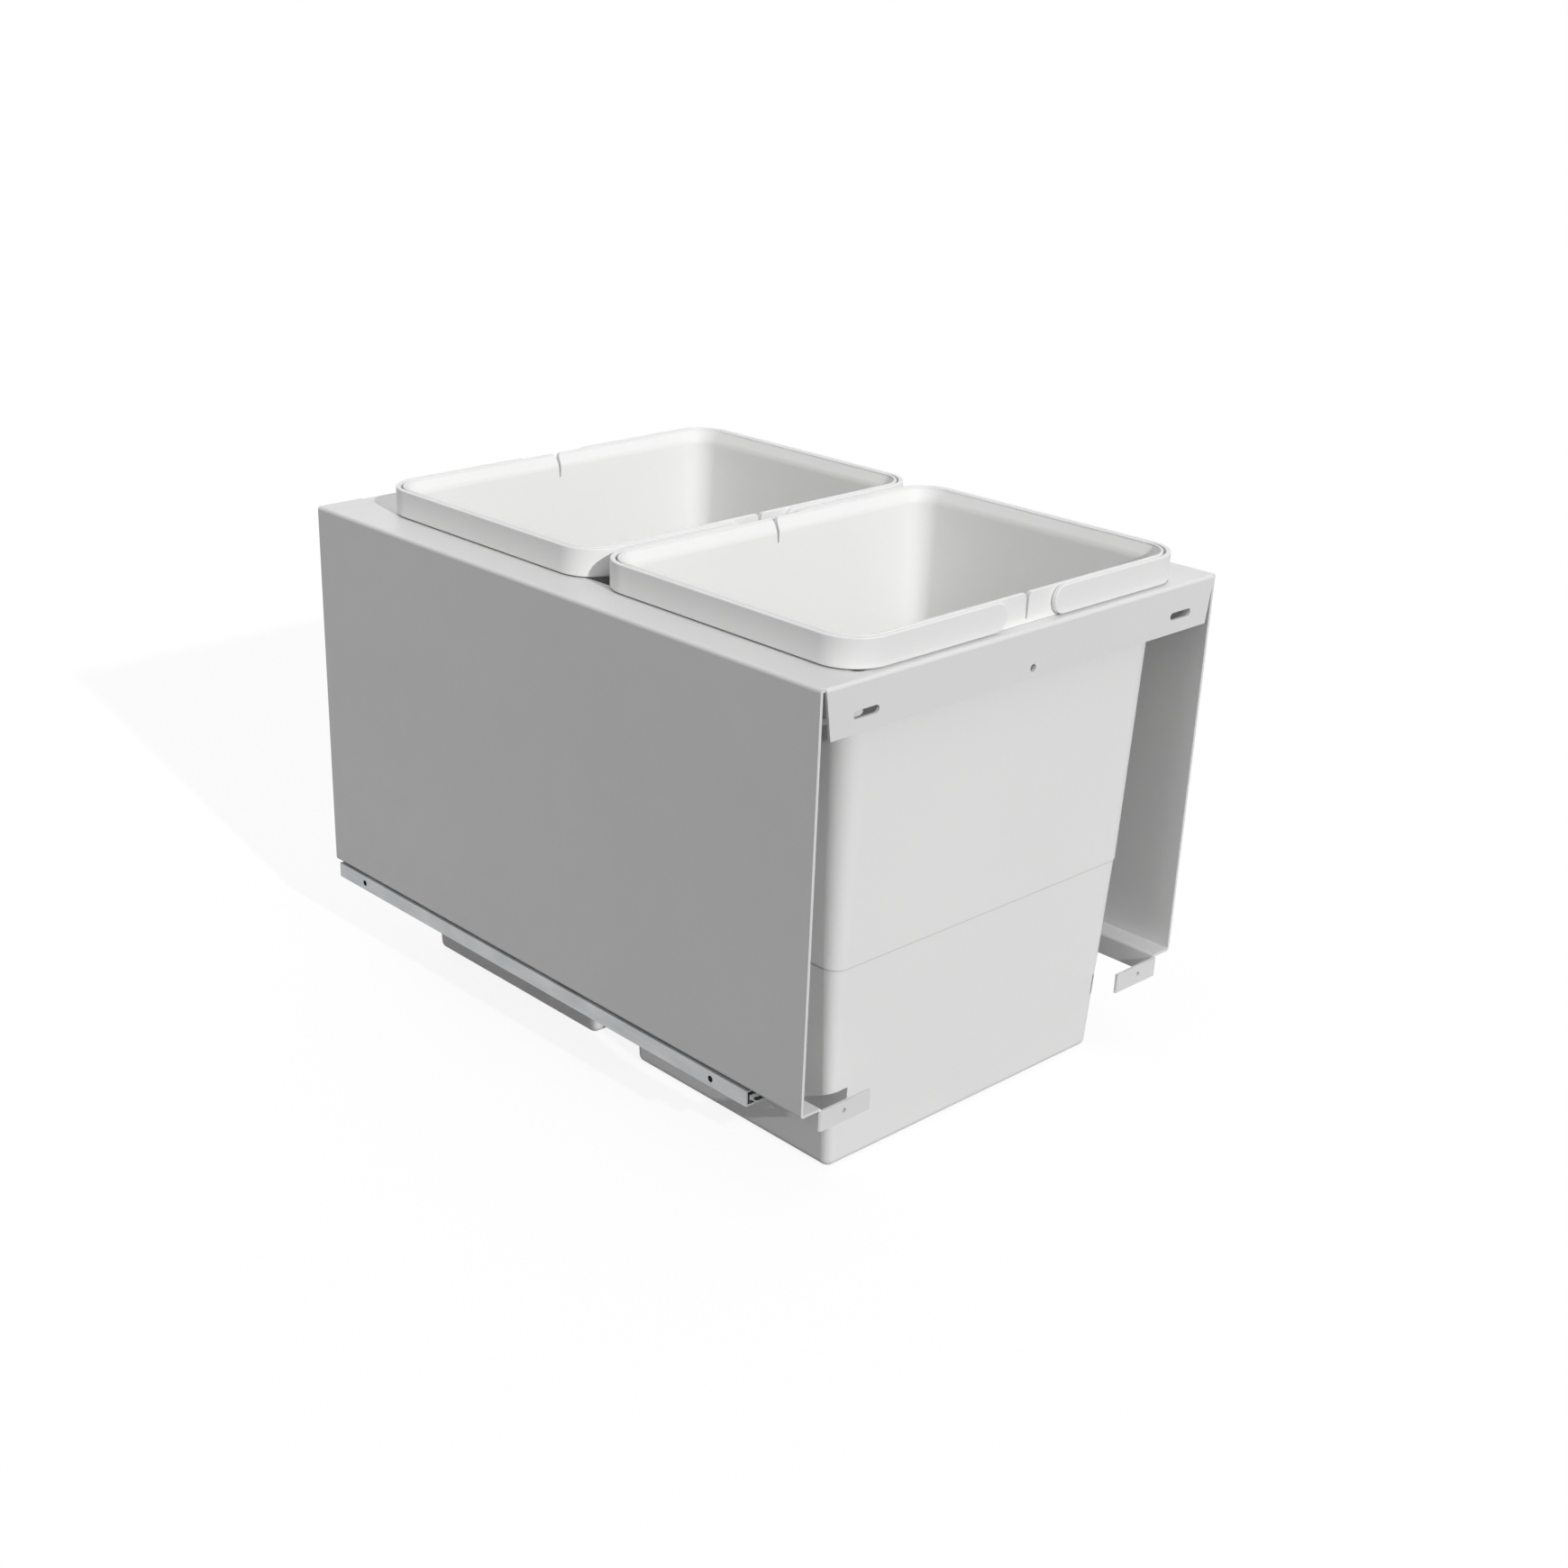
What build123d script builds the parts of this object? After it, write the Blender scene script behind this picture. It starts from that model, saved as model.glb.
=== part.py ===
"""Pull-out waste unit for a kitchen cabinet: a folded steel carrier on two telescopic rails, with two lift-out bins.

Millimetres. +X right, +Y to the back of the cabinet, +Z up. The carrier pulls out along -Y.
The origin is midway between the two slots of the front flange, on that flange's front face.
"""

from build123d import *
import math
import os

# ---- carrier: one folded sheet -------------------------------------------------
CARRIER_WIDTH = 362.0
CARRIER_DEPTH = 504.0
SIDE_HEIGHT = 273.0
SHEET = 2.0
BEND_RADIUS = 0.4
FRONT_FLANGE_HEIGHT = 32.0
BACK_FLANGE_HEIGHT = 20.0
SIDE_SETBACK = 1.5
FLANGE_GAP_TOP = 1.4
FLANGE_GAP_BOTTOM = 6.0
LEDGE_WIDTH = 17.3
LIP_HEIGHT = 14.0
TAB_LENGTH = 43.7

# ---- fixings for the cabinet's own door --------------------------------------
DOOR_FIXING_INSET = 36.0
SLOT_DROP = 20.5
SLOT_LENGTH = 21.0
SLOT_WIDTH = 5.0
CENTRE_HOLE_DROP = 25.5
CENTRE_HOLE = 5.0
TAB_HOLE_DROP = 6.4
TAB_HOLE = 3.2

# ---- bins ------------------------------------------------------------------------
BIN_SIDE_MARGIN = 28.2
BIN_FRONT_MARGIN = 4.9
BIN_BACK_MARGIN = 38.5
BIN_GAP = 4.5
RIM_HEIGHT = 19.7
RIM_WALL = 2.6
RIM_CORNER = 25.5
RIM_CORNER_INSET = 4.5
SAME_HEIGHT = 0.01
RIM_LIP_ROUNDING = 0.6
SHOULDER_X = 5.5
SHOULDER_Y = 4.4
SEAT_CLEARANCE = 0.3
SEAT_OVERLAP = 4.7
SEAT_END_OVERLAP = 0.9
CUTOUT_CORNER = 5.0
BIN_DROP = 340.2
BODY_CORNER = 17.0
SEAM_DROP = 196.0
SEAM_STEP = 0.7
SEAM_ROUNDING = 0.5
UPPER_DRAFT_X = 1.55
UPPER_DRAFT_Y = 1.95
LOWER_DRAFT_X = 3.0
LOWER_DRAFT_Y = 2.1
BIN_WALL = 2.2
BIN_BASE = 2.6
FLARE_DEPTH = 8.5
FLARE_ROUNDING = 8.0
LIP_DEPTH = 1.2
BASE_CORNER = 5.8
BASE_ROUNDING = 5.2
FOOT_HEIGHT = 1.2
FOOT_LENGTH_X = 15.0
FOOT_LENGTH_Y = 20.0
FOOT_RAMP = 4.0
SLIT_WIDTH = 1.2
SLIT_FOOT = 3.0
SLIT_NECK = 2.2
SLIT_MOUTH = 8.0
SLIT_MOUTH_DEPTH = 7.5
SLIT_EASE = 0.2

# ---- handles ---------------------------------------------------------------------
HANDLE_THICKNESS = 3.2
HANDLE_GAP = 0.6
HANDLE_LIFT = 1.1
HANDLE_TOP = 19.6
HANDLE_CORNER_STEP = 1.5
HANDLE_TIP = 22.1
HANDLE_ROUNDING = 0.8
HANDLE_INNER_ROUNDING = 0.4
STUD_DIAMETER = 7.0
STUD_DEPTH = 1.5
STUD_PLAY = 0.06
STUD_END_PLAY = 0.3

# ---- telescopic rails ------------------------------------------------------------
CABINET_GAP = 1.0
RAIL_HEIGHT = 11.0
RAIL_CLEARANCE = 0.3
RAIL_SHEET = 1.2
RAIL_FRONT_SETBACK = 48.0
RAIL_BACK_SETBACK = 6.0
LIP_SPACING = 1.5
CAGE_ROOM = 1.8
BEAD_SETBACK = 0.6
MIDDLE_WEB = 2.4
BALL_DIAMETER = 3.0
GROOVE_DEPTH = 0.4
BALL_PLAY = 0.08
CAGE_SHEET = 0.8
CAGE_LENGTH = 216.0
CAGE_EDGE = 0.4
POCKET_PLAY = 0.1
BALLS_PER_ROW = 8
BUFFER_LENGTH = 6.0
BUFFER_CLEARANCE = 0.3
RAIL_HOLE = 4.4
RAIL_HOLE_HEAD = 7.6
RAIL_HOLE_PITCH = 384.0
RIVET_DIAMETER = 4.0
RIVET_HEAD = 7.6
RIVET_HEAD_HEIGHT = 1.4
RIVET_PITCH = 160.0
RIVETS_PER_RAIL = 3
COUNTERSINK = 0.9

# ---- heights and places that follow from the sizes above -----------------------------
PLATE_TOP = SLOT_DROP
HALF_WIDTH = CARRIER_WIDTH / 2
SIDE_BOTTOM = PLATE_TOP - SIDE_HEIGHT
LIP_BOTTOM = SIDE_BOTTOM - LIP_HEIGHT
LIP_OUTER = HALF_WIDTH - LEDGE_WIDTH + SHEET
DOOR_FIXING_X = HALF_WIDTH - DOOR_FIXING_INSET

HANDLE_CORNER = RIM_CORNER + HANDLE_CORNER_STEP
BAND_HALF_X = HALF_WIDTH - BIN_SIDE_MARGIN
BAND_LENGTH = (CARRIER_DEPTH - BIN_FRONT_MARGIN - BIN_BACK_MARGIN - BIN_GAP) / 2
BAND_HALF_Y = BAND_LENGTH / 2
BIN_PITCH = BAND_LENGTH + BIN_GAP
FRONT_BIN_Y = BIN_FRONT_MARGIN + BAND_HALF_Y
RIM_INSET = HANDLE_THICKNESS + HANDLE_GAP
RIM_HALF_X = BAND_HALF_X - RIM_INSET
RIM_HALF_Y = BAND_HALF_Y - RIM_INSET
BODY_HALF_X = RIM_HALF_X - SHOULDER_X
BODY_HALF_Y = RIM_HALF_Y - SHOULDER_Y
SEAT_Z = PLATE_TOP + SEAT_CLEARANCE
RIM_TOP = PLATE_TOP + RIM_HEIGHT
SEAM_Z = PLATE_TOP - SEAM_DROP
BIN_BOTTOM = PLATE_TOP - BIN_DROP

HANDLE_BOTTOM_Z = PLATE_TOP + HANDLE_LIFT
HANDLE_TOP_Z = PLATE_TOP + HANDLE_TOP
HANDLE_HALF_HEIGHT = (HANDLE_TOP_Z - HANDLE_BOTTOM_Z) / 2
PIVOT_Z = (HANDLE_TOP_Z + HANDLE_BOTTOM_Z) / 2
PIVOT_X = HANDLE_TIP + HANDLE_HALF_HEIGHT

RAIL_TOP = SIDE_BOTTOM - BEND_RADIUS - RAIL_CLEARANCE
RAIL_MID_Z = RAIL_TOP - RAIL_HEIGHT / 2
RAIL_FRONT = RAIL_FRONT_SETBACK
RAIL_BACK = CARRIER_DEPTH - RAIL_BACK_SETBACK
RAIL_LENGTH = RAIL_BACK - RAIL_FRONT
RAIL_OUTER = HALF_WIDTH + CABINET_GAP
CHANNEL = RAIL_OUTER - LIP_OUTER
LIP_REACH = (CHANNEL - LIP_SPACING) / 2
BEAD_INNER = RAIL_SHEET + CAGE_ROOM
BEAD_OUTER = LIP_REACH - BEAD_SETBACK
BALL_S = (BEAD_INNER + BEAD_OUTER) / 2
RACE_GAP = BALL_DIAMETER - 2 * GROOVE_DEPTH + 2 * BALL_PLAY
BEAD_HEIGHT = RAIL_HEIGHT - 2 * RAIL_SHEET - 2 * RACE_GAP
BALL_OFFSET = (BEAD_HEIGHT + RACE_GAP) / 2
CAGE_FRONT = (RAIL_FRONT + RAIL_BACK - CAGE_LENGTH) / 2


# ---- small helpers ---------------------------------------------------------------
def block(x0, x1, y0, y1, z0, z1):
    """A box from its two opposite corners."""
    size = (abs(x1 - x0), abs(y1 - y0), abs(z1 - z0))
    return Pos((x0 + x1) / 2, (y0 + y1) / 2, (z0 + z1) / 2) * Box(*size)


def rod(axis, radius, x, y, z, length):
    """A cylinder that starts at a point and runs the given way along +X, +Y or +Z."""
    turn = {"x": Rot(0, 90, 0), "y": Rot(-90, 0, 0), "z": Rot(0, 0, 0)}[axis]
    return Pos(x, y, z) * turn * Cylinder(radius, length, align=(Align.CENTER, Align.CENTER, Align.MIN))


def strip(points, width, radius):
    """A folded strip's section on the plane it is drawn on: its middle line, rounded at the folds."""
    line = FilletPolyline(*points, radius=radius)
    return trace(line, line_width=width)


def mirror_x(shape):
    """The same piece on the other side of the unit."""
    return mirror(shape, about=Plane.YZ)


# ---- carrier -----------------------------------------------------------------------
def folded_side():
    """The left side: plate, side panel, ledge and lip, folded from one strip and as long as the carrier."""
    half = SHEET / 2
    left = -HALF_WIDTH + half
    lip = -LIP_OUTER + half
    bottom = SIDE_BOTTOM + half
    path = [(-CUTOUT_HALF_X, PLATE_TOP - half), (left, PLATE_TOP - half), (left, bottom), (lip, bottom)]
    path.append((lip, LIP_BOTTOM))
    section = Plane.XZ * strip(path, SHEET, BEND_RADIUS + half)
    long = extrude(section, amount=-CARRIER_DEPTH)
    front_trim = block(-RAIL_OUTER, -CUTOUT_HALF_X, 0, SIDE_SETBACK, LIP_BOTTOM, PLATE_TOP)
    return long - front_trim


def door_tab():
    """The left tab, folded inwards from the lip's front edge, with its door screw hole."""
    half = SHEET / 2
    lip = -LIP_OUTER + half
    path = [(lip, SIDE_SETBACK + LEDGE_WIDTH), (lip, half), (-LIP_OUTER + TAB_LENGTH, half)]
    tab = Pos(0, 0, LIP_BOTTOM) * extrude(strip(path, SHEET, BEND_RADIUS + half), amount=LIP_HEIGHT)
    hole_z = SIDE_BOTTOM - TAB_HOLE_DROP
    return tab - rod("y", TAB_HOLE / 2, -DOOR_FIXING_X, -SHEET, hole_z, 3 * SHEET)


def cross_flange(height, y_face, y_inner):
    """A strip across the carrier: flat at the cut-out and folded down at y_face."""
    half = SHEET / 2
    inwards = half if y_inner > y_face else -half
    path = [(y_inner, PLATE_TOP - half), (y_face + inwards, PLATE_TOP - half)]
    path.append((y_face + inwards, PLATE_TOP - height))
    section = Plane.YZ * strip(path, SHEET, BEND_RADIUS + half)
    span = HALF_WIDTH - SHEET - FLANGE_GAP_TOP
    return Pos(-span, 0, 0) * extrude(section, amount=2 * span)


def slanted_end():
    """What is cut from the left end of the front flange, so that the end slants inwards going down."""
    top = -HALF_WIDTH + SHEET + FLANGE_GAP_TOP
    low = -HALF_WIDTH + SHEET + FLANGE_GAP_BOTTOM
    foot = PLATE_TOP - FRONT_FLANGE_HEIGHT
    fold = PLATE_TOP - SHEET - BEND_RADIUS
    outline = Polyline((top, fold), (low, foot), (-HALF_WIDTH, foot), (-HALF_WIDTH, fold), close=True)
    return extrude(Plane.XZ * make_face(outline), amount=-SHEET)


def door_slot():
    """One long hole through the front flange, on the left."""
    shape = Plane.XZ * Pos(-DOOR_FIXING_X, 0) * SlotOverall(SLOT_LENGTH, SLOT_WIDTH)
    return extrude(shape, amount=SHEET, both=True)


CUTOUT_HALF_X = RIM_HALF_X - SEAT_OVERLAP
CUTOUT_FRONT = FRONT_BIN_Y - RIM_HALF_Y + SEAT_END_OVERLAP
CUTOUT_BACK = FRONT_BIN_Y + BIN_PITCH + RIM_HALF_Y - SEAT_END_OVERLAP


def cutout():
    """The one long opening that both bins hang in."""
    length = CUTOUT_BACK - CUTOUT_FRONT
    outline = RectangleRounded(2 * CUTOUT_HALF_X, length, CUTOUT_CORNER)
    middle = (CUTOUT_FRONT + CUTOUT_BACK) / 2
    return Pos(0, middle, PLATE_TOP - 2 * SHEET) * extrude(outline, amount=3 * SHEET)


def rivet_places():
    """The rivets' distances from the front, the same on both rails."""
    middle = (RAIL_FRONT + RAIL_BACK) / 2
    first = middle - RIVET_PITCH * (RIVETS_PER_RAIL - 1) / 2
    return [first + n * RIVET_PITCH for n in range(RIVETS_PER_RAIL)]


def carrier_frame():
    """The whole folded carrier."""
    side = folded_side() + door_tab()
    for y in rivet_places():
        side -= rod("x", RIVET_DIAMETER / 2 + POCKET_PLAY / 2, -LIP_OUTER - SHEET, y, RAIL_MID_Z, 3 * SHEET)
    front = cross_flange(FRONT_FLANGE_HEIGHT, 0, CUTOUT_FRONT + CUTOUT_CORNER)
    back = cross_flange(BACK_FLANGE_HEIGHT, CARRIER_DEPTH, CUTOUT_BACK - CUTOUT_CORNER)
    front -= slanted_end() + mirror_x(slanted_end())
    front -= door_slot() + mirror_x(door_slot())
    hole_z = PLATE_TOP - CENTRE_HOLE_DROP
    front -= rod("y", CENTRE_HOLE / 2, 0, -SHEET, hole_z, 3 * SHEET)
    corners = block(-CUTOUT_HALF_X - CUTOUT_CORNER, CUTOUT_HALF_X + CUTOUT_CORNER,
                    SHEET + BEND_RADIUS, CARRIER_DEPTH - SHEET - BEND_RADIUS, PLATE_TOP - SHEET, PLATE_TOP)
    return front + back + side + mirror_x(side) + corners - cutout()


# ---- bins --------------------------------------------------------------------------
def bin_outline(half_x, half_y, corner, z):
    """A rounded rectangle at a height, given by its half sizes."""
    return Pos(0, 0, z) * RectangleRounded(2 * half_x, 2 * half_y, corner)


def rim_outline(z):
    """The outline of the rim's skirt at a height."""
    return bin_outline(RIM_HALF_X, RIM_HALF_Y, RIM_CORNER, z)


def rim_opening(z):
    """The outline of the space inside the rim's skirt at a height."""
    corner = RIM_CORNER - RIM_CORNER_INSET
    return bin_outline(RIM_HALF_X - RIM_WALL, RIM_HALF_Y - RIM_WALL, corner, z)


def upper_taper(z, draft):
    """How far the body above the seam is drawn in at a height, for one pair of its sides."""
    return (SEAT_Z - z) * math.tan(math.radians(draft))


def upper_outline(z, wall=0.0):
    """The outline of the body above the seam, drawn in by the wall for the inside."""
    inset_x = upper_taper(z, UPPER_DRAFT_X) + wall
    inset_y = upper_taper(z, UPPER_DRAFT_Y) + wall
    return bin_outline(BODY_HALF_X - inset_x, BODY_HALF_Y - inset_y, BODY_CORNER - inset_y, z)


def lower_taper(z, upper_draft, lower_draft):
    """How far the body below the seam is drawn in at a height, for one pair of its sides."""
    below = (SEAM_Z - z) * math.tan(math.radians(lower_draft))
    return upper_taper(SEAM_Z, upper_draft) + SEAM_STEP + below


def lower_corner(z):
    """The corner radius of the body below the seam, which shrinks towards the base."""
    at_seam = BODY_CORNER - upper_taper(SEAM_Z, UPPER_DRAFT_Y) - SEAM_STEP
    return at_seam + (BASE_CORNER - at_seam) * (SEAM_Z - z) / (SEAM_Z - BIN_BOTTOM)


def lower_outline(z, wall=0.0):
    """The outline of the body below the seam, drawn in by the wall for the inside."""
    inset_x = lower_taper(z, UPPER_DRAFT_X, LOWER_DRAFT_X) + wall
    inset_y = lower_taper(z, UPPER_DRAFT_Y, LOWER_DRAFT_Y) + wall
    return bin_outline(BODY_HALF_X - inset_x, BODY_HALF_Y - inset_y, lower_corner(z) - wall, z)


def bin_outside():
    """Rim, tapered upper body, the small step of the seam and the more tapered lower body."""
    rim = extrude(rim_outline(SEAT_Z), amount=RIM_TOP - SEAT_Z)
    upper = loft([upper_outline(SEAM_Z), upper_outline(SEAT_Z)], ruled=True)
    upper = fillet(upper.faces().sort_by(Axis.Z)[0].edges(), SEAM_ROUNDING)
    lower = loft([lower_outline(BIN_BOTTOM), lower_outline(SEAM_Z)], ruled=True)
    lower = fillet(lower.faces().sort_by(Axis.Z)[0].edges(), BASE_ROUNDING)
    return rim + upper + lower


def bin_inside():
    """The hollow: it follows the outside a wall's thickness further in, and flares out below the lip."""
    floor_z = BIN_BOTTOM + FOOT_HEIGHT + BIN_BASE
    flare_z, lip_z = RIM_TOP - FLARE_DEPTH, RIM_TOP - LIP_DEPTH
    lower = loft([lower_outline(floor_z, BIN_WALL), lower_outline(SEAM_Z, BIN_WALL)], ruled=True)
    lower = fillet(lower.faces().sort_by(Axis.Z)[0].edges(), BASE_ROUNDING - BIN_WALL)
    below_step = SEAM_Z + BIN_WALL
    link = loft([lower_outline(SEAM_Z, BIN_WALL), upper_outline(below_step, BIN_WALL)], ruled=True)
    upper = loft([upper_outline(below_step, BIN_WALL), upper_outline(flare_z, BIN_WALL)], ruled=True)
    flare = loft([upper_outline(flare_z, BIN_WALL), rim_opening(lip_z)], ruled=True)
    mouth = extrude(rim_opening(lip_z), amount=LIP_DEPTH + SHEET)
    throat = upper + flare
    waist = throat.edges().filter_by_position(Axis.Z, flare_z - SAME_HEIGHT, flare_z + SAME_HEIGHT)
    return lower + link + fillet(waist, FLARE_ROUNDING) + mouth


def skirt_channel():
    """The narrow ring, open below, between the rim's skirt and the body's wall."""
    flare_z = RIM_TOP - FLARE_DEPTH
    ring = extrude(rim_opening(SEAT_Z), amount=flare_z - SEAT_Z)
    return ring - loft([upper_outline(SEAT_Z), upper_outline(flare_z)], ruled=True)


def ramped_groove(half_length):
    """The section of one groove under the base, with a ramp at either end up to its feet."""
    wide, top, low = half_length + FOOT_RAMP / 2, BIN_BOTTOM + FOOT_HEIGHT, BIN_BOTTOM
    narrow = half_length - FOOT_RAMP / 2
    outline = Polyline((-wide, low), (-narrow, top), (narrow, top), (wide, low), (wide, low - SHEET),
                       (-wide, low - SHEET), close=True)
    return make_face(outline)


def foot_grooves():
    """What leaves the four corner feet standing proud of the base."""
    free_x = BODY_HALF_X - lower_taper(BIN_BOTTOM, UPPER_DRAFT_X, LOWER_DRAFT_X) - FOOT_LENGTH_X
    free_y = BODY_HALF_Y - lower_taper(BIN_BOTTOM, UPPER_DRAFT_Y, LOWER_DRAFT_Y) - FOOT_LENGTH_Y
    along = extrude(Plane.XZ * ramped_groove(free_x), amount=BODY_HALF_Y, both=True)
    across = extrude(Plane.YZ * ramped_groove(free_y), amount=BODY_HALF_X, both=True)
    return along + across


def liner_slit():
    """The slit with a funnel mouth that holds the liner's edge, cut through both end walls."""
    foot, top = PLATE_TOP + SLIT_FOOT, RIM_TOP + SHEET
    half, throat, mouth = SLIT_WIDTH / 2, SLIT_NECK / 2, SLIT_MOUTH / 2
    neck = RIM_TOP - SLIT_MOUTH_DEPTH
    ease_x, ease_z = throat + SLIT_EASE * (mouth - throat), RIM_TOP - 2 * SLIT_EASE * SLIT_MOUTH_DEPTH
    edge = Polyline((mouth, top), (mouth, RIM_TOP))
    edge += Bezier((mouth, RIM_TOP), (ease_x, RIM_TOP), (throat, ease_z), (throat, neck))
    edge += Polyline((throat, neck), (half, foot), (0, foot))
    outline = edge + mirror(edge, about=Plane.YZ) + Line((mouth, top), (-mouth, top))
    return extrude(Plane.XZ * make_face(outline), amount=RIM_HALF_Y + SHEET, both=True)


def stud_socket(side, end):
    """A blind round socket in the rim's outer face for one handle stud."""
    depth = STUD_DEPTH + STUD_END_PLAY
    radius = STUD_DIAMETER / 2 + STUD_PLAY
    start = RIM_HALF_Y - depth if end > 0 else -RIM_HALF_Y - SHEET
    return rod("y", radius, side * PIVOT_X, start, PIVOT_Z, depth + SHEET)


def waste_bin():
    """One bin, centred on X and Y, at its height."""
    shell = bin_outside() - foot_grooves() - bin_inside() - skirt_channel()
    lip = shell.faces().filter_by(Plane.XY).sort_by(Axis.Z)[-1]
    shell = fillet(lip.edges(), RIM_LIP_ROUNDING) - liner_slit()
    for side in (-1, 1):
        for end in (-1, 1):
            shell -= stud_socket(side, end)
    return shell


def skin_edges(shape, half_x, half_y, corner):
    """The edges of a hoop that lie in the upright skin over one rounded outline."""
    found = []
    for edge in shape.edges():
        middle = edge @ 0.5
        past_x = max(abs(middle.X) - (half_x - corner), 0)
        past_y = max(abs(middle.Y) - (half_y - corner), 0)
        if abs(math.hypot(past_x, past_y) - corner) < SAME_HEIGHT:
            found.append(edge)
    return found


def handle():
    """The left half-hoop handle, folded down round the rim, with its two studs. Centred on X and Y."""
    height = HANDLE_TOP_Z - HANDLE_BOTTOM_Z
    face_x, face_y = BAND_HALF_X - HANDLE_THICKNESS, BAND_HALF_Y - HANDLE_THICKNESS
    inner_corner = HANDLE_CORNER - HANDLE_THICKNESS
    outer = RectangleRounded(2 * BAND_HALF_X, 2 * BAND_HALF_Y, HANDLE_CORNER)
    inner = RectangleRounded(2 * face_x, 2 * face_y, inner_corner)
    hoop = Pos(0, 0, HANDLE_BOTTOM_Z) * extrude(outer - inner, amount=height)
    reach = BAND_HALF_Y + SHEET
    keep = block(-BAND_HALF_X - SHEET, -PIVOT_X, -reach, reach, HANDLE_BOTTOM_Z, HANDLE_TOP_Z)
    keep += rod("y", HANDLE_HALF_HEIGHT, -PIVOT_X, -reach, PIVOT_Z, 2 * reach)
    bail = hoop & keep
    bail = fillet(skin_edges(bail, BAND_HALF_X, BAND_HALF_Y, HANDLE_CORNER), HANDLE_ROUNDING)
    bail = fillet(skin_edges(bail, face_x, face_y, inner_corner), HANDLE_INNER_ROUNDING)
    stud_length = HANDLE_GAP + STUD_DEPTH
    for start in (-face_y - SHEET / 2, face_y - stud_length):
        bail += rod("y", STUD_DIAMETER / 2, -PIVOT_X, start, PIVOT_Z, stud_length + SHEET / 2)
    return bail


# ---- telescopic rails ------------------------------------------------------------------
def rail_block(s0, s1, y0, y1, half_height):
    """A bar in the left rail's channel: s runs inwards from the cabinet's side, z from the rail's middle."""
    x = -RAIL_OUTER
    return block(x + s0, x + s1, y0, y1, RAIL_MID_Z - half_height, RAIL_MID_Z + half_height)


def ball_grooves(s):
    """The two long half-round grooves that the balls at s run in, above and below the bead."""
    radius = BALL_DIAMETER / 2 + BALL_PLAY
    lines = [rod("y", radius, -RAIL_OUTER + s, RAIL_FRONT - SHEET, RAIL_MID_Z + side * BALL_OFFSET,
                 RAIL_LENGTH + 2 * SHEET) for side in (-1, 1)]
    return lines[0] + lines[1]


def channel_rail():
    """A C-shaped rail against the cabinet's left side, open inwards, with its ball grooves."""
    half = RAIL_HEIGHT / 2
    rail = rail_block(0, LIP_REACH, RAIL_FRONT, RAIL_BACK, half)
    rail -= rail_block(RAIL_SHEET, LIP_REACH + SHEET, RAIL_FRONT - SHEET, RAIL_BACK + SHEET, half - RAIL_SHEET)
    rail -= ball_grooves(BALL_S)
    return rail


def flip_rail(shape):
    """Turns a rail piece end for end across the channel, so that it faces the cabinet's side."""
    return mirror(shape, about=Plane.YZ.offset(-RAIL_OUTER + CHANNEL / 2))


def countersunk_hole(radius, head_radius, y):
    """A flat-head screw hole through the channel rail's web, with its wide end inside the channel."""
    x = -RAIL_OUTER
    hole = rod("x", radius, x - SHEET, y, RAIL_MID_Z, 3 * SHEET)
    cone = Cone(radius, head_radius, COUNTERSINK, align=(Align.CENTER, Align.CENTER, Align.MIN))
    return hole + Pos(x + RAIL_SHEET - COUNTERSINK, y, RAIL_MID_Z) * Rot(0, 90, 0) * cone


def cabinet_rail():
    rail = channel_rail()
    middle = (RAIL_FRONT + RAIL_BACK) / 2
    for side in (-1, 1):
        y = middle + side * RAIL_HOLE_PITCH / 2
        rail -= countersunk_hole(RAIL_HOLE / 2, RAIL_HOLE_HEAD / 2, y)
    return rail


def drawer_rail():
    rail = channel_rail()
    for y in rivet_places():
        rail -= countersunk_hole(RIVET_DIAMETER / 2 + POCKET_PLAY / 2, RIVET_HEAD / 2, y)
    return flip_rail(rail)


def middle_rail():
    """The moving bar between the two channels: a bead in each, joined by a thin web."""
    back = RAIL_BACK - BUFFER_LENGTH - BUFFER_CLEARANCE
    bead = rail_block(BEAD_INNER, BEAD_OUTER, RAIL_FRONT, back, BEAD_HEIGHT / 2)
    bead -= ball_grooves(BALL_S)
    web = rail_block(BEAD_OUTER, CHANNEL - BEAD_OUTER, RAIL_FRONT, back, MIDDLE_WEB / 2)
    return bead + web + flip_rail(bead)


def ball_places():
    step = CAGE_LENGTH / BALLS_PER_ROW
    return [CAGE_FRONT + (n + 0.5) * step for n in range(BALLS_PER_ROW)]


def ball_cage():
    """The C-shaped strip that keeps the balls apart, in the cabinet rail's channel."""
    s0 = RAIL_SHEET + (CAGE_ROOM - CAGE_SHEET) / 2
    s1 = LIP_REACH - CAGE_EDGE
    y1 = CAGE_FRONT + CAGE_LENGTH
    outer = rail_block(s0, s1, CAGE_FRONT, y1, BALL_OFFSET + CAGE_SHEET / 2)
    hollow = rail_block(s0 + CAGE_SHEET, s1 + SHEET, CAGE_FRONT - SHEET, y1 + SHEET, BALL_OFFSET - CAGE_SHEET / 2)
    cage = outer - hollow
    depth = 2 * BALL_OFFSET + 2 * CAGE_SHEET
    for y in ball_places():
        pocket = rod("z", BALL_DIAMETER / 2 + POCKET_PLAY, -RAIL_OUTER + BALL_S, y, RAIL_MID_Z - depth / 2, depth)
        cage -= pocket
    return cage


def cage_balls():
    """Both rows of balls of one cage, as separate solids."""
    balls = [Pos(-RAIL_OUTER + BALL_S, y, RAIL_MID_Z + side * BALL_OFFSET) * Sphere(BALL_DIAMETER / 2)
             for y in ball_places() for side in (-1, 1)]
    return Compound(balls)


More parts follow.
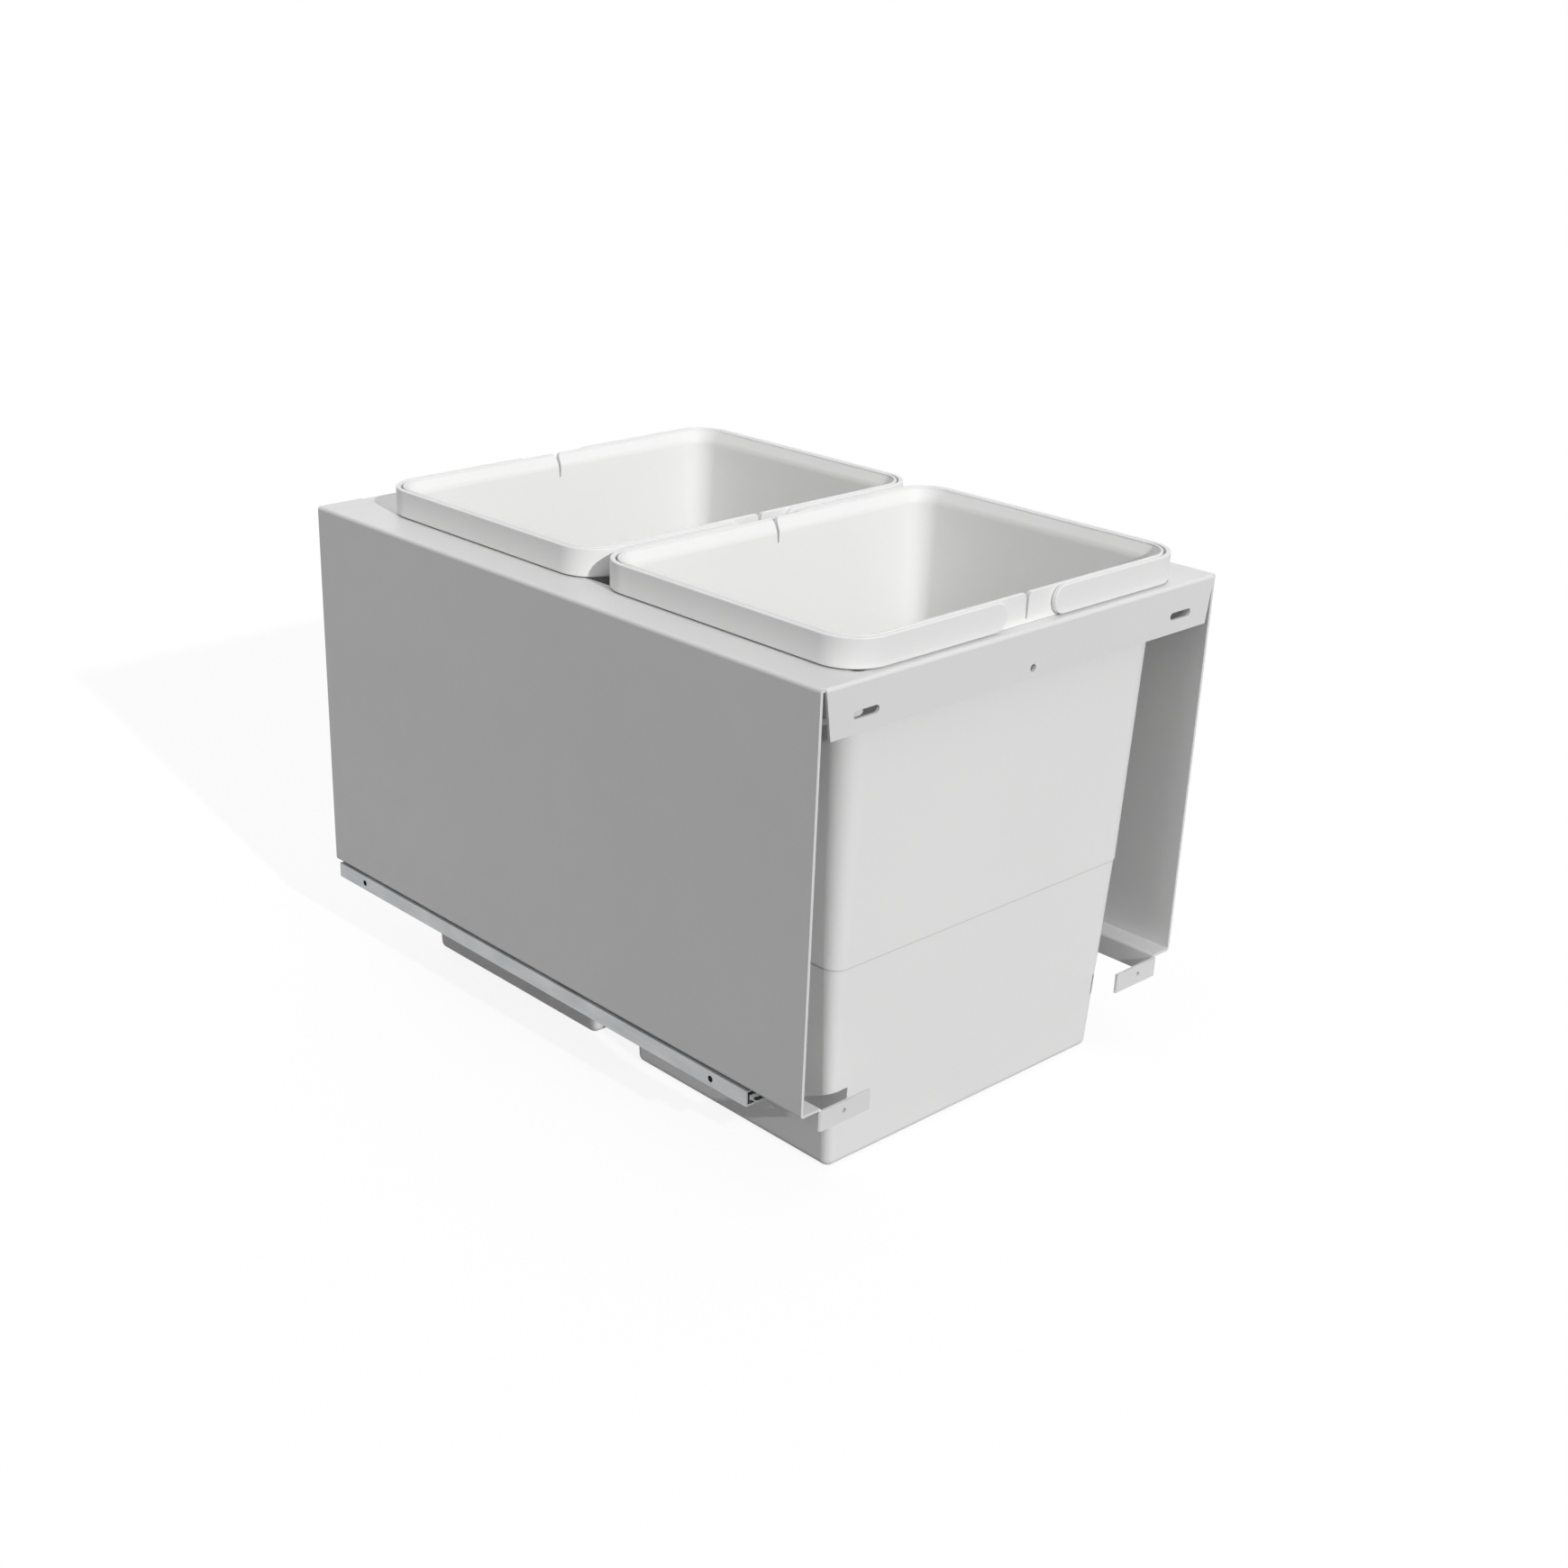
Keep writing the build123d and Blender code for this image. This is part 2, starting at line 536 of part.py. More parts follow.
def closing_buffer():
    """The rubber block at the back of the cabinet rail that the middle rail closes against."""
    return rail_block(RAIL_SHEET, LIP_REACH, RAIL_BACK - BUFFER_LENGTH, RAIL_BACK, RAIL_HEIGHT / 2 - RAIL_SHEET) \
        - ball_grooves(BALL_S)


def rivet(y):
    """One rivet through the lip and the drawer rail's web: flat in the rail, domed on the lip."""
    radius = RIVET_DIAMETER / 2
    x = -LIP_OUTER - RAIL_SHEET
    shank = rod("x", radius, x, y, RAIL_MID_Z, RAIL_SHEET + SHEET)
    flat = Cone(RIVET_HEAD / 2 - POCKET_PLAY, radius - POCKET_PLAY, COUNTERSINK,
                align=(Align.CENTER, Align.CENTER, Align.MIN))
    dome = Pos(-LIP_OUTER + SHEET, y, RAIL_MID_Z) * Rot(0, 90, 0) * Cylinder(
        RIVET_HEAD / 2, RIVET_HEAD_HEIGHT, align=(Align.CENTER, Align.CENTER, Align.MIN))
    dome = fillet(dome.edges().sort_by(Axis.X)[-1], RIVET_HEAD_HEIGHT * 0.8)
    return shank + Pos(x, y, RAIL_MID_Z) * Rot(0, 90, 0) * flat + dome


def rail_rivets():
    return Compound([rivet(y) for y in rivet_places()])


# ---- the sub-parts --------------------------------------------------------------------------
def both_sides(name, shape):
    """The left and the right piece of a handed pair."""
    return {name + "_left": shape, name + "_right": mirror_x(shape)}


def build_nodes():
    nodes = {"carrier_frame": carrier_frame()}
    nodes.update(both_sides("cabinet_rail", cabinet_rail()))
    nodes.update(both_sides("middle_rail", middle_rail()))
    nodes.update(both_sides("drawer_rail", drawer_rail()))
    nodes.update(both_sides("outer_ball_cage", ball_cage()))
    nodes.update(both_sides("outer_balls", cage_balls()))
    nodes.update(both_sides("inner_ball_cage", flip_rail(ball_cage())))
    nodes.update(both_sides("inner_balls", flip_rail(cage_balls())))
    nodes.update(both_sides("closing_buffer", closing_buffer()))
    nodes.update(both_sides("rail_rivets", rail_rivets()))
    one_bin, bail = waste_bin(), handle()
    for name, y in (("front_bin", FRONT_BIN_Y), ("rear_bin", FRONT_BIN_Y + BIN_PITCH)):
        nodes[name] = Pos(0, y, 0) * one_bin
        nodes[name + "_handle_left"] = Pos(0, y, 0) * bail
        nodes[name + "_handle_right"] = Pos(0, y, 0) * mirror_x(bail)
    return nodes


os.makedirs("parts", exist_ok=True)
for node, shape in build_nodes().items():
    export_step(shape, f"parts/{node}.step")
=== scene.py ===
# %% [markdown]
# This notebook dresses a pull-out waste unit: a folded steel carrier that slides out of a kitchen cabinet on
# two telescopic rails, with two lift-out bins and their fold-down handles. The solids come from the CAD model,
# already in place and in metres. Blender adds what a solid does not have: finishes, light and a camera.

# %% Load the CAD frame
import math

import bmesh
import bpy
from mathutils import Matrix, Vector


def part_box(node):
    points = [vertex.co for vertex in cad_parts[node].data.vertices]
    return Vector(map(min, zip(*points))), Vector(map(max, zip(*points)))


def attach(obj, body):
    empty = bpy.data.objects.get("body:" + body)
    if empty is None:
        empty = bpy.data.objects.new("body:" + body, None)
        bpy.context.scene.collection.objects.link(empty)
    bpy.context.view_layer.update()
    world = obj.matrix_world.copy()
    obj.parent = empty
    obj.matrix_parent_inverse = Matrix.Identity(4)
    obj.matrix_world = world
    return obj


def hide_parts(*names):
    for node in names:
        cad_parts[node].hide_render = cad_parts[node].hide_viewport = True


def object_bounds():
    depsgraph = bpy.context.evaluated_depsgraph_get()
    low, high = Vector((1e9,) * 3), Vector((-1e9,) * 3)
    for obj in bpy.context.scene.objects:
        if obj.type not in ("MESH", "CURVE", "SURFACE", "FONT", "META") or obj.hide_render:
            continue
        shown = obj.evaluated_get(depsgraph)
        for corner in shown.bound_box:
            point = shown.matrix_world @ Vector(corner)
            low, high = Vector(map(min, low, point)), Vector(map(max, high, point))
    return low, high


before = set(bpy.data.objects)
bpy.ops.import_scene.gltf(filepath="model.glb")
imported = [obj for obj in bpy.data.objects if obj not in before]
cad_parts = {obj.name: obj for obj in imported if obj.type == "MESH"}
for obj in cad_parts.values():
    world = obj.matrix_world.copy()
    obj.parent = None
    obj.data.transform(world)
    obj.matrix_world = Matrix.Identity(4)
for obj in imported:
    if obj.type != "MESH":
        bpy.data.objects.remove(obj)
cad_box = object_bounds()
scene = bpy.context.scene
print("CAD box in mm:", [[round(v * 1000, 1) for v in corner] for corner in cad_box])

# %% [markdown]
# The camera repeats the photograph's viewpoint, to the left of the unit's front and a little above it. It could
# be placed by eye, but a measured place, heading and focal length make every edge fall where the picture has
# it. The picture is a crop from one side of a wider shot, which a lens shift repeats without turning the
# camera.

# %% The camera
PICTURE = 1740
EYE = Vector((-0.9888, -0.7802, 0.4134))
HEADING, DIP, ROLL = (math.radians(angle) for angle in (41.19, 24.74, -0.71))
FOCAL_PIXELS = 2389.8
CENTRE_PIXEL = (720.0, 990.0)


def place_camera():
    """A camera whose three axes are worked out from its heading, its dip and its small roll."""
    level = Vector((math.sin(HEADING), math.cos(HEADING), 0))
    ahead = level * math.cos(DIP) - Vector((0, 0, math.sin(DIP)))
    right = ahead.cross(Vector((0, 0, 1))).normalized()
    down = ahead.cross(right)
    rolled_right = right * math.cos(ROLL) + down * math.sin(ROLL)
    rolled_down = down * math.cos(ROLL) - right * math.sin(ROLL)
    lens = bpy.data.cameras.new("photo_camera")
    lens.sensor_width = 36.0
    lens.lens = FOCAL_PIXELS / PICTURE * lens.sensor_width
    lens.shift_x = (PICTURE / 2 - CENTRE_PIXEL[0]) / PICTURE
    lens.shift_y = (CENTRE_PIXEL[1] - PICTURE / 2) / PICTURE
    camera = bpy.data.objects.new("photo_camera", lens)
    axes = Matrix((rolled_right, -rolled_down, -ahead)).transposed()
    camera.matrix_world = Matrix.Translation(EYE) @ axes.to_4x4()
    bpy.context.collection.objects.link(camera)
    return camera


scene.camera = place_camera()
print("lens", round(scene.camera.data.lens, 1), "mm, shift", round(scene.camera.data.shift_x, 3))

# %% [markdown]
# The light is plain: one clear lamp from in front, slightly left and fairly low, which shines into the bins and
# leaves the left side in half shade, and an even pale sky. A sun lamp suits it, because its rays are parallel
# and its small disc gives the short, clean shadows of the picture. Two faint ones with wide discs cast no edge
# of their own: one overhead lifts the level faces, and one behind keeps the back out of the dark.

# %% Lamps
def sun_lamp(name, travel, strength, disc_degrees):
    """A sun whose light travels along the given direction."""
    light = bpy.data.lights.new(name, "SUN")
    light.energy = strength
    light.angle = math.radians(disc_degrees)
    holder = bpy.data.objects.new(name, light)
    holder.rotation_euler = Vector(travel).to_track_quat("-Z", "Y").to_euler()
    bpy.context.collection.objects.link(holder)
    return holder


scene.view_settings.view_transform = "Standard"
sun_lamp("key_lamp", (0.17, 0.88, -0.43), 1.87, 1.2)
sun_lamp("top_lamp", (0, 0, -1), 0.42, 60.0)
sun_lamp("fill_lamp", (-0.5, -0.75, -0.45), 0.3, 60.0)
print("lamps:", [lamp.name for lamp in bpy.data.lights])

# %% [markdown]
# A node tree is a list of small steps joined by wires. The two helpers here keep that readable: one adds a step
# and sets its fixed inputs, the other joins two sockets.

# %% Node helpers
def step(tree, kind, settings=(), **values):
    """A new node: settings are its own properties, values its input sockets (underscores stand for blanks)."""
    node = tree.nodes.new(kind)
    for key, value in dict(settings).items():
        setattr(node, key, value)
    for key, value in values.items():
        node.inputs[key.replace("_", " ")].default_value = value
    return node


def wire(tree, start, end):
    """Joins an output socket to an input socket."""
    tree.links.new(start, end)
    return end


# %% [markdown]
# The sky lights the unit at a third of full strength, yet looks white where the camera, a mirror-like surface
# or a clear one sees it. A brighter sky would also give a white ground, but it would wash out the shade on the
# unit. The Light Path node tells the two kinds of ray apart, and a Map Range gives each its own strength.

# %% Sky
def seen_directly(tree):
    """1 for a camera, glossy or transmission ray, and 0 for the rays that light a surface."""
    path = step(tree, "ShaderNodeLightPath")
    first = step(tree, "ShaderNodeMath", {"operation": "MAXIMUM"})
    second = step(tree, "ShaderNodeMath", {"operation": "MAXIMUM"})
    wire(tree, path.outputs["Is Camera Ray"], first.inputs[0])
    wire(tree, path.outputs["Is Glossy Ray"], first.inputs[1])
    wire(tree, first.outputs[0], second.inputs[0])
    wire(tree, path.outputs["Is Transmission Ray"], second.inputs[1])
    return second.outputs[0]


SKY_LIGHT = 0.34

world = bpy.data.worlds.new("pale_sky")
world.use_nodes = True
scene.world = world
sky = world.node_tree
level = step(sky, "ShaderNodeMapRange")
level.inputs["To Min"].default_value = SKY_LIGHT
wire(sky, seen_directly(sky), level.inputs["Value"])
wire(sky, level.outputs["Result"], sky.nodes["Background"].inputs["Strength"])
sky.nodes["Background"].inputs["Color"].default_value = (1, 1, 1, 1)
print("sky strength", SKY_LIGHT, "on the unit, 1 to the eye")

# %% [markdown]
# The floor works alike. To the unit it is a quiet grey, so it throws little light up at it. To the camera the
# same grey gets a glow on top, which brings it near white and still leaves the unit's soft shadow on it. It
# lies a hair below the bins' feet, so that the two never share a plane.

# %% Floor
FLOOR_GREY = 0.15
FLOOR_GLOW = 0.885
FLOOR_CLEARANCE = 0.0005


def pale_floor(height, reach=5.0):
    """A wide flat floor just under the bins."""
    mesh = bpy.data.meshes.new("floor")
    corners = [(-reach, -reach, height), (reach, -reach, height), (reach, reach, height), (-reach, reach, height)]
    mesh.from_pydata(corners, [], [(0, 1, 2, 3)])
    floor = bpy.data.objects.new("floor", mesh)
    bpy.context.collection.objects.link(floor)
    paint = bpy.data.materials.new("floor_paint")
    paint.use_nodes = True
    tree = paint.node_tree
    grey = tree.nodes["Principled BSDF"]
    grey.inputs["Base Color"].default_value = (FLOOR_GREY, FLOOR_GREY, FLOOR_GREY, 1)
    grey.inputs["Roughness"].default_value = 1.0
    grey.inputs["Specular IOR Level"].default_value = 0.0
    glow = step(tree, "ShaderNodeEmission", Strength=FLOOR_GLOW)
    both = step(tree, "ShaderNodeAddShader")
    choice = step(tree, "ShaderNodeMixShader")
    wire(tree, grey.outputs[0], both.inputs[0])
    wire(tree, glow.outputs[0], both.inputs[1])
    wire(tree, seen_directly(tree), choice.inputs[0])
    wire(tree, grey.outputs[0], choice.inputs[1])
    wire(tree, both.outputs[0], choice.inputs[2])
    wire(tree, choice.outputs[0], tree.nodes["Material Output"].inputs["Surface"])
    mesh.materials.append(paint)
    return floor


floor_height = cad_box[0][2] - FLOOR_CLEARANCE
pale_floor(floor_height)
print("floor at", round(floor_height * 1000, 1), "mm")

# %% [markdown]
# Every finish starts from the same recipe: a colour that drifts very slightly from place to place, a sheen that
# is not quite even, and a fine relief. All of it is worked out from the piece's own coordinates in metres, so
# the grain keeps its real size and stays with the piece when it moves.

# %% Shared parts of a finish
def bare_material(name, roughness, metallic=0.0):
    """A new material and its tree, shader and object coordinates."""
    material = bpy.data.materials.new(name)
    material.use_nodes = True
    tree = material.node_tree
    shader = tree.nodes["Principled BSDF"]
    shader.inputs["Roughness"].default_value = roughness
    shader.inputs["Metallic"].default_value = metallic
    place = step(tree, "ShaderNodeTexCoord").outputs["Object"]
    return material, tree, shader, place


def drifting(tree, place, scale, detail, low, high, stretch=(1, 1, 1)):
    """A noise that runs between two values, at a scale in cells per metre."""
    fit = step(tree, "ShaderNodeMapping")
    fit.inputs["Scale"].default_value = stretch
    wire(tree, place, fit.inputs["Vector"])
    noise = step(tree, "ShaderNodeTexNoise", Scale=scale, Detail=detail)
    wire(tree, fit.outputs[0], noise.inputs["Vector"])
    spread = step(tree, "ShaderNodeMapRange")
    spread.inputs["From Min"].default_value = 0.3
    spread.inputs["From Max"].default_value = 0.7
    spread.inputs["To Min"].default_value = low
    spread.inputs["To Max"].default_value = high
    wire(tree, noise.outputs[0], spread.inputs["Value"])
    return spread.outputs["Result"]


def tinted(tree, amount, first, second):
    """A colour between two near neighbours."""
    mix = step(tree, "ShaderNodeMix", {"data_type": "RGBA"})
    mix.inputs["A"].default_value = (*first, 1)
    mix.inputs["B"].default_value = (*second, 1)
    wire(tree, amount, mix.inputs["Factor"])
    return mix.outputs["Result"]


def relief(tree, height, strength, depth, below=None):
    """A bump of the given depth in metres, laid over another one if it is given."""
    bump = step(tree, "ShaderNodeBump", Strength=strength, Distance=depth)
    wire(tree, height, bump.inputs["Height"])
    if below is not None:
        wire(tree, below, bump.inputs["Normal"])
    return bump.outputs["Normal"]


# %% [markdown]
# The carrier is powder-coated. Powder melts into a satin skin that is not perfectly level, which makers call
# orange peel: soft cells about two millimetres wide and a few microns deep, with a much finer grain on top.

# %% White powder coat
def powder_coat(name="powder_coat"):
    """A satin white skin with orange peel and a fine grain."""
    material, tree, shader, place = bare_material(name, 0.45)
    cloud = drifting(tree, place, 9, 2, 0.0, 1.0)
    wire(tree, tinted(tree, cloud, (0.79, 0.79, 0.79), (0.815, 0.815, 0.81)), shader.inputs["Base Color"])
    wire(tree, drifting(tree, place, 60, 3, 0.4, 0.5), shader.inputs["Roughness"])
    peel = relief(tree, drifting(tree, place, 520, 1, 0, 1), 0.35, 0.00003)
    grain = relief(tree, drifting(tree, place, 3200, 2, 0, 1), 0.25, 0.00001, peel)
    wire(tree, grain, shader.inputs["Normal"])
    return material


# %% [markdown]
# The bins and handles are moulded in white polypropylene. The mould is spark-eroded, so the plastic takes a
# very fine even grain. Slow waves across the large walls come from the way the melt cools. Half-way down, a fine
# grey line of painted shade runs along the mould's seam: it stands for the shadow under the seam's small step.
# The handles are rubbed by hands, so their grain is flatter and they shine a little more.

# %% White moulded plastic
# The seam line is painted shade: a grey band that stands for the shadow under the mould's small step.
SEAM_HEIGHT = -0.1757
SEAM_SHADE_HALF_WIDTH = 0.0004
SEAM_SHADE_GREY = 0.6


def painted_seam_shade_band(tree, place):
    """1 in the narrow band just under the mould's seam, where the step's shadow is painted as shade, and 0
    elsewhere.
    """
    height = step(tree, "ShaderNodeSeparateXYZ")
    wire(tree, place, height.inputs[0])
    band = step(tree, "ShaderNodeMath", {"operation": "COMPARE"})
    wire(tree, height.outputs["Z"], band.inputs[0])
    band.inputs[1].default_value = SEAM_HEIGHT
    band.inputs[2].default_value = SEAM_SHADE_HALF_WIDTH
    return band.outputs[0]


def moulded_plastic(name, sheen, grain_depth, wave_depth, painted_seam_shade=False):
    """White plastic with an even grain, slow waves and, if asked, a line of painted shade under the seam's step.
    """
    material, tree, shader, place = bare_material(name, sheen)
    cloud = drifting(tree, place, 6, 2, 0.0, 1.0)
    shader.inputs["Specular IOR Level"].default_value = 0.35
    colour = tinted(tree, cloud, (0.9, 0.9, 0.895), (0.92, 0.92, 0.915))
    if painted_seam_shade:
        # Painted shade: the band under the seam is mixed towards grey to stand for the step's shadow.
        shaded = step(tree, "ShaderNodeMix", {"data_type": "RGBA"})
        wire(tree, painted_seam_shade_band(tree, place), shaded.inputs["Factor"])
        wire(tree, colour, shaded.inputs["A"])
        shaded.inputs["B"].default_value = (SEAM_SHADE_GREY, SEAM_SHADE_GREY, SEAM_SHADE_GREY, 1)
        colour = shaded.outputs["Result"]
    wire(tree, colour, shader.inputs["Base Color"])
    wire(tree, drifting(tree, place, 45, 2, sheen - 0.04, sheen + 0.05), shader.inputs["Roughness"])
    waves = relief(tree, drifting(tree, place, 14, 1, 0, 1, (1, 1, 0.35)), 0.3, wave_depth)
    grain = relief(tree, drifting(tree, place, 2600, 2, 0, 1), 0.3, grain_depth, waves)
    wire(tree, grain, shader.inputs["Normal"])
    return material


# %% [markdown]
# The rails are cold-rolled steel with a thin zinc plate. Rolling leaves faint lines along the strip, and
# plating leaves a bluish grey that is a little cloudy. Stretching a noise along the rail draws the lines.

# %% Zinc-plated steel
def plated_steel(name="plated_steel"):
    """Cloudy bluish grey metal with faint lines along Y."""
    material, tree, shader, place = bare_material(name, 0.52, 1.0)
    cloud = drifting(tree, place, 70, 4, 0.0, 1.0, (1, 0.4, 1))
    wire(tree, tinted(tree, cloud, (0.42, 0.43, 0.44), (0.5, 0.51, 0.52)), shader.inputs["Base Color"])
    lines = drifting(tree, place, 1500, 3, 0, 1, (1, 0.02, 1))
    wire(tree, drifting(tree, place, 1200, 2, 0.46, 0.6, (1, 0.02, 1)), shader.inputs["Roughness"])
    wire(tree, relief(tree, lines, 0.25, 0.00001), shader.inputs["Normal"])
    return material


# %% [markdown]
# Three small finishes are left: bright ground steel on the balls and rivets, a cream nylon on the strips that
# space the balls, and black rubber on the buffers, dull and slightly pitted.

# %% Small finishes
def ground_steel(name, roughness):
    """Bright metal with a very fine grain."""
    material, tree, shader, place = bare_material(name, roughness, 1.0)
    cloud = drifting(tree, place, 400, 3, 0.0, 1.0)
    wire(tree, tinted(tree, cloud, (0.74, 0.74, 0.75), (0.8, 0.8, 0.81)), shader.inputs["Base Color"])
    wire(tree, drifting(tree, place, 900, 3, roughness * 0.8, roughness * 1.3), shader.inputs["Roughness"])
    wire(tree, relief(tree, drifting(tree, place, 6000, 2, 0, 1), 0.15, 0.000005), shader.inputs["Normal"])
    return material


def dull_solid(name, first, second, roughness, pit_depth):
    """A plain solid that drifts between two colours and is slightly pitted."""
    material, tree, shader, place = bare_material(name, roughness)
    cloud = drifting(tree, place, 150, 3, 0.0, 1.0)
    wire(tree, tinted(tree, cloud, first, second), shader.inputs["Base Color"])
    wire(tree, drifting(tree, place, 300, 2, roughness - 0.06, roughness + 0.06), shader.inputs["Roughness"])
    wire(tree, relief(tree, drifting(tree, place, 1800, 3, 0, 1), 0.4, pit_depth), shader.inputs["Normal"])
    return material


FINISHES = {
    "carrier_frame": powder_coat(),
    "bin": moulded_plastic("bin_plastic", 0.5, 0.00001, 0.0004, painted_seam_shade=True),
    "handle": moulded_plastic("handle_plastic", 0.44, 0.000006, 0.0001),
    "rail": plated_steel(),
    "cage": dull_solid("cage_nylon", (0.72, 0.7, 0.64), (0.78, 0.76, 0.7), 0.5, 0.00001),
    "buffer": dull_solid("buffer_rubber", (0.02, 0.02, 0.02), (0.035, 0.035, 0.035), 0.75, 0.00003),
    "rivets": ground_steel("rivet_steel", 0.3),
    "balls": ground_steel("ball_steel", 0.12),
}
print(len(FINISHES), "finishes")

# %% [markdown]
# Each solid from the CAD model keeps its shape and takes its finish from a word in its name, so one short rule
# dresses all of them. A handle's name also holds the word bin, and the rivets' the word rail, so the order of
# the words matters: the more particular ones are tried first.

# %% Dress the solids
def finish_for(node):
    """The finish for the first of the words that the solid's name holds."""
    for word in ("handle", "balls", "cage", "rivets", "buffer", "rail", "carrier_frame", "bin"):
        if word in node:
            return FINISHES[word]
    raise KeyError(node)


for node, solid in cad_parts.items():
    for place in solid.material_slots:
        place.material = finish_for(node)
print(len(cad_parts), "solids dressed")

# %% [markdown]
# Sixteen equal balls roll in each ball cage. They could be copied one by one, but Geometry Nodes say the rule
# once: a row is a line of points at an even pitch, a ball stands on each point, and four rows start at four
# corners. The CAD model's own balls give the sizes.

# %% The tree for rows of balls
def group_input(tree, name, kind, value=None):
    """A named input of a node group, with its starting value."""
    socket = tree.interface.new_socket(name, in_out="INPUT", socket_type=kind)
    if value is not None:
        socket.default_value = value
    return socket


def ball_row_tree():
    """Balls at an even pitch along a row from each point of the base mesh."""
    tree = bpy.data.node_groups.new("ball_rows", "GeometryNodeTree")
    group_input(tree, "Row starts", "NodeSocketGeometry")
    group_input(tree, "Balls in a row", "NodeSocketInt", 8)
    group_input(tree, "Pitch", "NodeSocketVector", (0, 0.027, 0))
    group_input(tree, "Ball radius", "NodeSocketFloat", 0.0015)
    group_input(tree, "Finish", "NodeSocketMaterial")
    tree.interface.new_socket("Balls", in_out="OUTPUT", socket_type="NodeSocketGeometry")
    given, result = step(tree, "NodeGroupInput"), step(tree, "NodeGroupOutput")
    row = step(tree, "GeometryNodeMeshLine", {"mode": "OFFSET"})
    rows = step(tree, "GeometryNodeInstanceOnPoints")
    spread = step(tree, "GeometryNodeRealizeInstances")
    ball = step(tree, "GeometryNodeMeshUVSphere", Segments=20, Rings=12)
    balls = step(tree, "GeometryNodeInstanceOnPoints")
    real = step(tree, "GeometryNodeRealizeInstances")
    smooth = step(tree, "GeometryNodeSetShadeSmooth")
    paint = step(tree, "GeometryNodeSetMaterial")
    wire(tree, given.outputs["Balls in a row"], row.inputs["Count"])
    wire(tree, given.outputs["Pitch"], row.inputs["Offset"])
    wire(tree, given.outputs["Row starts"], rows.inputs["Points"])
    wire(tree, row.outputs[0], rows.inputs["Instance"])
    wire(tree, rows.outputs[0], spread.inputs[0])
    wire(tree, given.outputs["Ball radius"], ball.inputs["Radius"])
    wire(tree, spread.outputs[0], balls.inputs["Points"])
    wire(tree, ball.outputs[0], balls.inputs["Instance"])
    wire(tree, balls.outputs[0], real.inputs[0])
    wire(tree, real.outputs[0], smooth.inputs[0])
    wire(tree, smooth.outputs[0], paint.inputs["Geometry"])
    wire(tree, given.outputs["Finish"], paint.inputs["Material"])
    wire(tree, paint.outputs[0], result.inputs[0])
    return tree


# %% [markdown]
# A modifier runs such a tree on an object. Its inputs are set by each socket's identifier. The result is then
# taken as a plain mesh, so that the piece no longer depends on the modifier.

# %% Run a tree and keep its mesh
def grown(name, base_mesh, tree, **inputs):
    """The plain mesh object that a tree makes from a base mesh."""
    seed = bpy.data.objects.new(name + "_seed", base_mesh)
    bpy.context.collection.objects.link(seed)
    modifier = seed.modifiers.new("grow", "NODES")
    modifier.node_group = tree
    for socket in tree.interface.items_tree:
        key = socket.name.replace(" ", "_")
        if socket.in_out == "INPUT" and key in inputs:
            modifier[socket.identifier] = inputs[key]
    ready = seed.evaluated_get(bpy.context.evaluated_depsgraph_get())
    mesh = bpy.data.meshes.new_from_object(ready)
    mesh.name = name
    bpy.data.objects.remove(seed)
    piece = bpy.data.objects.new(name, mesh)
    bpy.context.collection.objects.link(piece)
    print(name, "has", len(mesh.polygons), "faces")
    return piece


# %% [markdown]
# Each side's cage carries a lower and an upper row, so one stage of the slide has four rows. The box of the CAD
# model's balls says where they are: it is one ball wide, and its length gives the pitch. The balls are drawn a
# thousandth smaller, so that their facets stay within that box, and they travel with their cages.

# %% Rows of balls in both pairs of cages
BALLS_IN_A_ROW = 8
JUST_WITHIN = 0.999
row_tree = ball_row_tree()


def rows_of_balls(stage_name):
    """The four rows of one stage: a lower and an upper one in each side's cage."""
    starts, sides = [], [f"{stage_name}_balls_left", f"{stage_name}_balls_right"]
    for side in sides:
        low, high = (Vector(corner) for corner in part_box(side))
        radius = (high.x - low.x) / 2
        pitch = (high.y - low.y - 2 * radius) / (BALLS_IN_A_ROW - 1)
        starts += [((low.x + high.x) / 2, low.y + radius, z) for z in (low.z + radius, high.z - radius)]
    mesh = bpy.data.meshes.new(stage_name + "_row_starts")
    mesh.from_pydata(starts, [], [])
    piece = grown(stage_name + "_balls", mesh, row_tree, Balls_in_a_row=BALLS_IN_A_ROW, Pitch=(0, pitch, 0),
                  Ball_radius=radius * JUST_WITHIN, Finish=FINISHES["balls"])
    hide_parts(*sides)
    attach(piece, stage_name + "_cages")
    return piece


for stage_name in ("outer", "inner"):
    rows_of_balls(stage_name)

# %% [markdown]
# Three rivets on each side hold the rail to the carrier's lip: a flat end sunk into the rail, a shank through
# both sheets and a low dome. A rivet is round about its axis, so its outline is drawn once and spun. A cylinder
# and a sphere could be joined instead, but a spun outline gives one closed skin.

# %% One rivet, spun from its outline
RIVETS_ON_A_SIDE = 3
SHANK_RADIUS = 0.002
SUNK_DEPTH = 0.0009
DOME_HEIGHT = 0.0014
DOME_STEPS = 6
DOME_FULLNESS = 0.6


def spun_rivet(name, outline, centre, turns=28):
    """A closed solid of revolution about a line along X through the centre."""
    shape = bmesh.new()
    rings = []
    for along, radius in outline:
        if radius == 0:
            rings.append([shape.verts.new((centre.x + along, centre.y, centre.z))])
            continue
        angles = [2 * math.pi * k / turns for k in range(turns)]
        rings.append([shape.verts.new((centre.x + along, centre.y + radius * math.cos(a),
                                       centre.z + radius * math.sin(a))) for a in angles])
    for before, after in zip(rings, rings[1:]):
        for k in range(turns):
            corners = [before[k % len(before)], before[(k + 1) % len(before)],
                       after[(k + 1) % len(after)], after[k % len(after)]]
            shape.faces.new(list(dict.fromkeys(corners)))
    bmesh.ops.recalc_face_normals(shape, faces=shape.faces)
    mesh = bpy.data.meshes.new(name)
    shape.to_mesh(mesh)
    shape.free()
    return mesh


